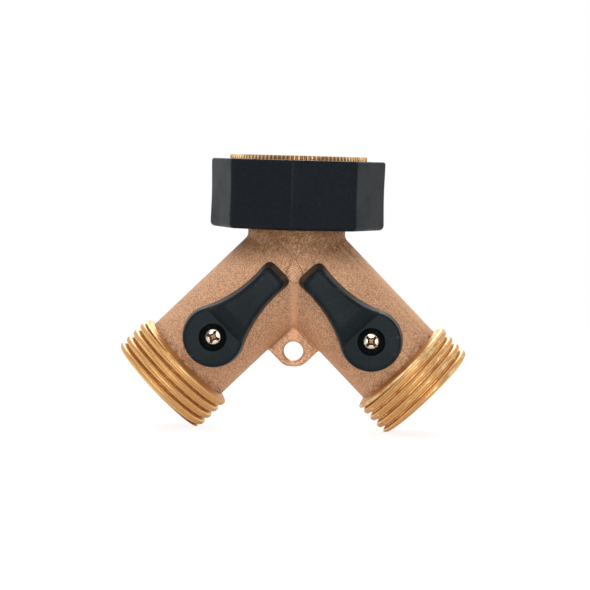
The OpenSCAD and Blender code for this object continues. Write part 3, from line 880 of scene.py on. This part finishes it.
def build_grip():
    """Eight-sided grip sleeve with soft corners, a softer lower edge and a faint waist."""
    height = GRIP_TOP - GRIP_BOTTOM
    levels = [(0.0, 1.3), (0.06, 0.9), (0.2, 0.55), (0.45, 0.25), (0.8, 0.06), (1.2, 0.0)]
    levels += [(z, 0.0) for z in np.linspace(2.0, height - 1.0, 14)]
    levels += [(height - drop, inset) for drop, inset in (
        (0.6, 0.0), (0.35, 0.05), (0.15, 0.17), (0.04, 0.35), (0.0, 0.6))]
    rows = []
    for z, inset in levels:
        ring = grip_outline(inset + GRIP_WAIST * math.sin(math.pi * z / height) ** 2)
        rows.append(np.column_stack([ring, np.full(len(ring), GRIP_BOTTOM + z)]))
    angle = np.arctan2(rows[0][:, 1], rows[0][:, 0])
    for gap, z in ((0.45, GRIP_TOP), (0.1, GRIP_TOP - 0.3), (0.05, GRIP_TOP - 0.8),
                   (0.05, GRIP_BOTTOM + 0.3), (0.3, GRIP_BOTTOM)):
        ring = (NUT_R + gap) * np.column_stack([np.cos(angle), np.sin(angle)])
        rows.append(np.column_stack([ring, np.full(len(angle), z)]))
    piece = new_object("grip_sleeve", new_mesh("grip_sleeve", *tube(np.array(rows))), [GRIP_RUBBER])
    finish_piece(piece, "nut", "nut_grip", 40)


# ---- Levers and screws ----

def bevelled(side, top, width, soft):
    """The side and top of a moulding, with a bevel between them whose own edges are a little soft."""
    bevel = (side + top + width) / math.sqrt(2)
    return soft_max(soft_max(side, top, 0.1), bevel, soft)


def lever_field(p):
    """Lever in its own frame: the round hub, the ramp and the arm with its concave, drafted sides."""
    u, v, w = p[..., 0], np.abs(p[..., 1]), p[..., 2]
    hub_bevel, arm_bevel, tip_round, tip_draft = 0.35, 0.6, 2.2, 1.8
    draft = DRAFT * (w - LEVER_BOTTOM)
    hub = np.hypot(u, v) - HUB_R + draft
    hub = soft_max(bevelled(hub, w - HUB_TOP, hub_bevel, 0.3), LEVER_BOTTOM - w, 0.4)
    away = np.clip(u - WAIST_AT, -WAIST_AT, 6.0)
    half = WAIST_HALF + SIDE_ARC_R - np.sqrt(SIDE_ARC_R**2 - away**2)
    half = np.where(u < WAIST_AT, half, soft_min(half, np.full_like(half, TIP_HALF), 0.3))
    sides = v - half + draft
    share = np.clip((u - RAMP_START) / (RAMP_END - RAMP_START), 0, 1)
    top = w - HUB_TOP - (LEVER_TOP - HUB_TOP) * (1 - (1 - share) ** 2)
    slope = 2 * (LEVER_TOP - HUB_TOP) / (RAMP_END - RAMP_START) * (1 - share) * (share > 0)
    top = top / np.sqrt(1 + slope**2)
    tip = u - LEVER_REACH + tip_draft * draft
    arm = bevelled(soft_max(sides, tip, tip_round), top, arm_bevel, 0.35)
    arm = soft_max(arm, LEVER_BOTTOM + 0.3 - w, 0.5)
    arm = np.maximum(arm, SIDE_FROM - u)
    return np.minimum(hub, arm)


def screw_recess(side):
    """Round recess in the hub for the screw's head, with a soft rim."""
    rim_r, past_top = RECESS_R + 0.15, HUB_TOP + 3
    section = [(0, RECESS_FLOOR), (RECESS_R, RECESS_FLOOR), (RECESS_R, HUB_TOP - 0.15), (rim_r, HUB_TOP),
               (rim_r, past_top), (0, past_top)]
    return solid_of_revolution(section, valve_centre(side), FRONT)


def stem_socket(side):
    """Square socket for the stem, which stands in line with the arm and not with the leaning lever."""
    along, across, out = lever_axes(side)
    cos, sin = math.cos(LEVER_LEAN), math.sin(LEVER_LEAN)
    axes = (cos * along + sin * across, cos * across - sin * along, out)
    half = STEM_SQUARE + 0.05
    corners = [(-half, -half), (half, -half), (half, half), (-half, half)]
    return prism(corners, LEVER_BOTTOM - 1, STEM_TOP + 0.2, axes, valve_centre(side))


def build_lever(side, label, shape):
    """One lever, set down at its valve, with the recess, screw hole, stem socket and stop slot cut out."""
    points, faces = shape
    points = valve_centre(side) + points @ np.array(lever_axes(side))
    if side < 0:
        faces = faces[:, ::-1]
    name = label + "_lever"
    piece = new_object(name, new_mesh(name, points, faces), (LEVER_PLASTIC, RECESS_SHADE_PLASTIC))
    gap = 0.25
    stop_slot = stop_sector(STOP_INNER_R - gap, STOP_OUTER_R + gap, LEVER_BOTTOM - 1, STOP_TOP + 0.4, 180,
                            VALVE_TRAVEL / 2 + STOP_HALF_ANGLE + 2, side)
    # The recess and the screw hole take the near-black plastic: painted shade.
    combine(piece, screw_recess(side), "DIFFERENCE", 1)
    combine(piece, rod(SCREW_R + 0.15, 5, HUB_TOP, valve_centre(side), FRONT, 48), "DIFFERENCE", 1)
    combine(piece, stem_socket(side), "DIFFERENCE")
    combine(piece, stop_slot, "DIFFERENCE")
    finish_piece(piece, label + "_valve", label + "_handle", 30)


def build_screw(side, label):
    """Pan-head screw with a tapered cross recess and a coarse thread."""
    valve, turn = valve_centre(side), math.radians(20 if side < 0 else 45)
    head, root_r = SCREW_TOP - RECESS_FLOOR, SCREW_R - 0.22
    section = [(0, -SCREW_LENGTH), (0.55, -SCREW_LENGTH)]
    for height in np.arange(-SCREW_LENGTH + 0.6, -0.35, 0.5):
        section += [(root_r, height - 0.2), (SCREW_R, height), (root_r, height + 0.2)]
    section += [(root_r, 0), (SCREW_HEAD_R - 0.06, 0), (SCREW_HEAD_R, 0.08), (SCREW_HEAD_R, head * 0.6)]
    section += [(SCREW_HEAD_R * math.cos(a) ** 0.5, head * (0.6 + 0.4 * math.sin(a)))
                for a in np.radians([15, 30, 45, 58, 70, 80])]
    solid = solid_of_revolution(section + [(0, head)], valve + RECESS_FLOOR * FRONT, FRONT, 72)
    name = label + "_cross_screw"
    piece = new_object(name, new_mesh(name, *solid), (SCREW_METAL, SCREW_RECESS_SHADE))
    top, depth = SCREW_TOP + 0.2, 1.0
    faces = [[3, 2, 1, 0], [4, 5, 6, 7], [0, 1, 5, 4], [1, 2, 6, 5], [2, 3, 7, 6], [3, 0, 4, 7]]
    # The cross recess's faces take the darker plating: painted shade.
    for angle in (turn, turn + math.pi / 2):
        long = np.array([side * math.cos(angle), 0, math.sin(angle)])
        wide = np.cross(FRONT, long)
        points = []
        for height, reach, half in ((top - depth - 0.2, 0.55, 0.22), (top, 1.85, 0.4)):
            points += [valve + height * FRONT + x * reach * long + y * half * wide
                       for x, y in ((-1, -1), (1, -1), (1, 1), (-1, 1))]
        combine(piece, (np.array(points), faces), "DIFFERENCE", 1)
    point = [(0, top - depth), (0.4, top - depth + 0.1), (1.0, top), (0, top)]
    combine(piece, solid_of_revolution(point, valve, FRONT, 24), "DIFFERENCE", 1)
    finish_piece(piece, label + "_valve", label + "_handle_screw", 35)


def build_levers():
    """Both levers from one shape, each with its screw."""
    step = 0.22
    margin = 0.8
    low = np.array([-HUB_R, -HUB_R, LEVER_BOTTOM]) - margin
    high = np.array([LEVER_REACH, HUB_R, LEVER_TOP]) + margin
    shape = skin(lever_field, low, high, step)
    for side, label in SIDES:
        build_lever(side, label, shape)
        build_screw(side, label)


# ---- Inner pieces keep their CAD shape ----

def give(node, material):
    """Puts a finish on a CAD node that keeps its shape."""
    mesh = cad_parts[node].data
    mesh.materials.clear()
    mesh.materials.append(material)


def dress_inner_pieces():
    """Finishes for the seals, rings, seats, balls and stems, which hardly show."""
    give("inlet_washer", SEAL_RUBBER)
    give("nut_retaining_ring", SPRING_STEEL)
    for label, brass in (("left", LEFT_TURNED), ("right", RIGHT_TURNED)):
        give(label + "_ball", BALL_PLATING)
        give(label + "_inner_seat", SEAT_PLASTIC)
        give(label + "_outer_seat", SEAT_PLASTIC)
        give(label + "_seat_retainer", brass)
        give(label + "_stem", STEM_TURNED)
        give(label + "_stem_o_rings", SEAL_RUBBER)
        give(label + "_stem_washer", SEAT_PLASTIC)


# ---- Floor, light and camera ----

def pale_floor():
    """Floor that the camera sees as white with the object's shadow, and that fades out further off."""
    material = bpy.data.materials.new("pale_floor")
    material.use_nodes = True
    tree = material.node_tree
    tree.nodes.clear()
    n = Nodes(tree)
    path = n.add("ShaderNodeLightPath").outputs
    seen = path["Is Camera Ray"]
    mirrored = n.math("MAXIMUM", path["Is Glossy Ray"], path["Is Transmission Ray"])
    plain = n.add("ShaderNodeBsdfDiffuse", Color=n.mix(seen, (0.8, 0.8, 0.8, 1), (0.3, 0.3, 0.3, 1)))
    glow = n.add("ShaderNodeEmission", Color=(1, 1, 1, 1), Strength=n.math(
        "ADD", n.math("MULTIPLY", seen, 0.84), n.math("MULTIPLY", mirrored, 0.3)))
    near = n.add("ShaderNodeAddShader")
    n.feed(near, "0", plain.outputs[0])
    n.feed(near, "1", glow.outputs[0])
    away = n.vector("LENGTH", n.add("ShaderNodeTexCoord").outputs["Object"])["Value"]
    fade = n.add("ShaderNodeMixShader")
    n.feed(fade, "0", n.spread(away, 0.12, 0.4))
    n.feed(fade, "1", near.outputs[0])
    n.feed(fade, "2", n.add("ShaderNodeBsdfTransparent").outputs[0])
    n.add("ShaderNodeOutputMaterial", Surface=fade.outputs[0])
    return material


def build_stage():
    """Pale floor just under the outlets."""
    z, size = CAD_BOX[0][2] - 0.0003, 0.5
    corners = [(-size, -size, z), (size, -size, z), (size, size, z), (-size, size, z)]
    mesh = bpy.data.meshes.new("floor")
    mesh.from_pydata(corners, [], [(0, 1, 2, 3)])
    new_object("floor", mesh, [pale_floor()])


def area_lamp(name, place, size, power):
    """A round soft lamp that points at the object's middle."""
    light = bpy.data.lights.new(name, "AREA")
    light.shape, light.size, light.energy = "DISK", size, power
    lamp = bpy.data.objects.new(name, light)
    bpy.context.scene.collection.objects.link(lamp)
    lamp.location = place
    aim = Vector((0, 0, -0.033)) - Vector(place)
    lamp.rotation_euler = aim.to_track_quat("-Z", "Y").to_euler()


def build_light():
    """A white room, dimmer in front where metal mirrors it, and five soft lamps round the object."""
    world = bpy.data.worlds.new("studio")
    bpy.context.scene.world = world
    world.use_nodes = True
    tree = world.node_tree
    tree.nodes.clear()
    n = Nodes(tree)
    path = n.add("ShaderNodeLightPath").outputs
    way = n.add("ShaderNodeSeparateXYZ", Vector=n.add("ShaderNodeTexCoord").outputs["Generated"])
    room = n.spread(way.outputs["Y"], -0.35, 0.3, 0.2, 1.0)
    mirrored = n.math("MAXIMUM", path["Is Glossy Ray"], path["Is Transmission Ray"])
    soft = n.math("ADD", n.math("MULTIPLY", mirrored, n.math("SUBTRACT", room, 0.27)), 0.27)
    seen = path["Is Camera Ray"]
    strength = n.math("ADD", soft, n.math("MULTIPLY", seen, n.math("SUBTRACT", 1.0, soft)))
    room_light = n.add("ShaderNodeBackground", Color=(1, 1, 1, 1), Strength=strength)
    n.add("ShaderNodeOutputWorld", Surface=room_light.outputs[0])
    area_lamp("key_lamp", (-0.12, -0.6, 0.54), 0.5, 2.0)
    area_lamp("front_lamp", (0.1, -0.9, 0.05), 0.7, 4.2)
    area_lamp("left_lamp", (-0.65, -0.05, 0.12), 0.4, 0.8)
    area_lamp("right_lamp", (0.65, -0.05, 0.12), 0.4, 0.5)
    area_lamp("back_lamp", (0.0, 0.6, 0.45), 0.5, 3.0)


def build_camera():
    """Camera in front of the levers and a little above, turned and rolled a degree or so."""
    low, high = CAD_BOX
    target, distance = np.array([(low[0] + high[0]) / 2, 0, low[2] + 0.03164]), 0.5
    rise, yaw, roll = math.radians(3.648), math.radians(1.301), math.radians(1.537)
    back = np.array([math.sin(yaw) * math.cos(rise), -math.cos(yaw) * math.cos(rise), math.sin(rise)])
    right = np.array([math.cos(yaw), math.sin(yaw), 0])
    up = np.cross(back, right)
    right, up = right * math.cos(roll) + up * math.sin(roll), up * math.cos(roll) - right * math.sin(roll)
    lens = bpy.data.cameras.new("camera")
    lens.lens, lens.sensor_width, lens.clip_start, lens.clip_end = 129.5, 36.0, 0.01, 50
    camera = bpy.data.objects.new("camera", lens)
    bpy.context.scene.collection.objects.link(camera)
    matrix = Matrix.Identity(4)
    for row in range(3):
        matrix[row][0], matrix[row][1], matrix[row][2] = right[row], up[row], back[row]
        matrix[row][3] = target[row] + distance * back[row]
    camera.matrix_world = matrix
    bpy.context.scene.camera = camera


build_body()
build_nut()
build_grip()
build_levers()
dress_inner_pieces()
build_stage()
build_light()
build_camera()
bpy.context.scene.view_settings.view_transform = "Standard"
